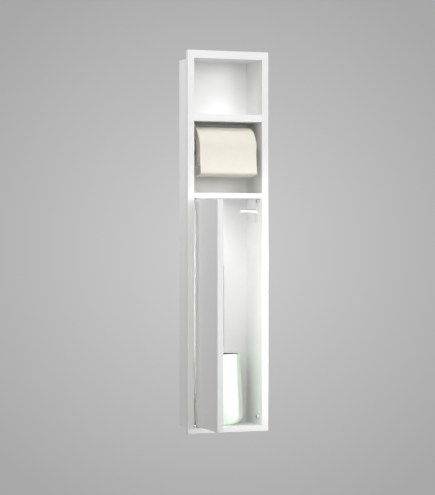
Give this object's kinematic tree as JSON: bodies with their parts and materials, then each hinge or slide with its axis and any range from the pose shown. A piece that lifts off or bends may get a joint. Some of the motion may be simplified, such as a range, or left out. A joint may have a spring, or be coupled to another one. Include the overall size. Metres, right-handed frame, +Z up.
{
  "type": "recessed toilet roll niche",
  "caption": "Narrow white sheet-metal wall niche with a flat frame, an open shelf space, a toilet roll on a sprung roller, and a brush cupboard with a pivot-hung door.",
  "frame": {"origin": "on the face of the wall, at the middle of the frame's bottom edge", "axes": "+X to the right, +Y into the wall, +Z up; the front faces -Y"},
  "size_m": [0.15, 0.1854, 0.66],
  "materials": {
    "white_coat": "matt white powder coat",
    "white_plastic": "satin white moulding",
    "grey_plastic": "satin light grey moulding",
    "nylon": "natural nylon",
    "steel": "bright zinc plate",
    "satin_metal": "satin chrome plate",
    "magnet": "nickel plate",
    "paper": "unbleached tissue",
    "cardboard": "grey-brown core board",
    "mint_plastic": "soft matt mint",
    "bristle": "white bristles"
  },
  "bodies": {
    "niche": {"frame_top_rail": "white_coat", "frame_bottom_rail": "white_coat", "frame_left_stile": "white_coat", "frame_right_stile": "white_coat", "body_channel": "white_coat", "top_plate": "white_coat", "floor_plate": "white_coat", "upper_shelf": "white_coat", "middle_shelf": "white_coat", "upper_hinge_bush": "nylon", "lower_hinge_bush": "nylon", "upper_door_stop": "white_plastic", "lower_door_stop": "white_plastic", "stop_magnets": "magnet", "hook_plate": "satin_metal", "hook_peg": "satin_metal", "hook_screws": "satin_metal", "left_roller_socket": "white_plastic", "right_roller_socket": "white_plastic", "socket_studs": "steel", "hanging_sheet": "paper", "brush_pot": "mint_plastic"},
    "door": {"door_tray": "white_coat", "door_liner": "white_coat", "upper_pivot_block": "nylon", "lower_pivot_block": "nylon", "upper_hinge_pin": "steel", "lower_hinge_pin": "steel", "pin_set_screws": "steel", "thrust_washer": "nylon"},
    "roll": {"roll_core": "cardboard", "paper_roll": "paper"},
    "roller": {"roller_outer_tube": "white_plastic", "roller_spring": "steel"},
    "roller_end": {"roller_inner_tube": "white_plastic"},
    "brush": {"brush_handle": "grey_plastic", "brush_head": "white_plastic", "brush_bristles": "bristle"}
  },
  "joints": [
    {"name": "door_hinge", "type": "hinge", "parent": "niche", "child": "door", "pos_m": [-0.0562, -0.006, 0.20735], "axis": [0, 0, -1], "range_deg": [-92.5, 36.3]},
    {"name": "roll_spin", "type": "hinge", "parent": "niche", "child": "roll", "pos_m": [-0.001, 0.025, 0.4935], "axis": [1, 0, 0], "continuous": true},
    {"name": "roller_spin", "type": "hinge", "parent": "niche", "child": "roller", "pos_m": [0, 0.025, 0.4972], "axis": [1, 0, 0], "continuous": true},
    {"name": "roller_end_slide", "type": "slide", "parent": "roller", "child": "roller_end", "axis": [-1, 0, 0], "range_m": [0, 0.01], "stiffness_N_per_m": 120, "springref_m": -0.03, "deforming": ["roller_spring"]},
    {"name": "brush_lift", "type": "slide", "parent": "niche", "child": "brush", "axis": [0, 0, 1], "range_m": [0, 0.11]}
  ],
  "couplings": [
    {"joint": "roller_spin", "follows": "roll_spin", "ratio": 1.3333}
  ]
}
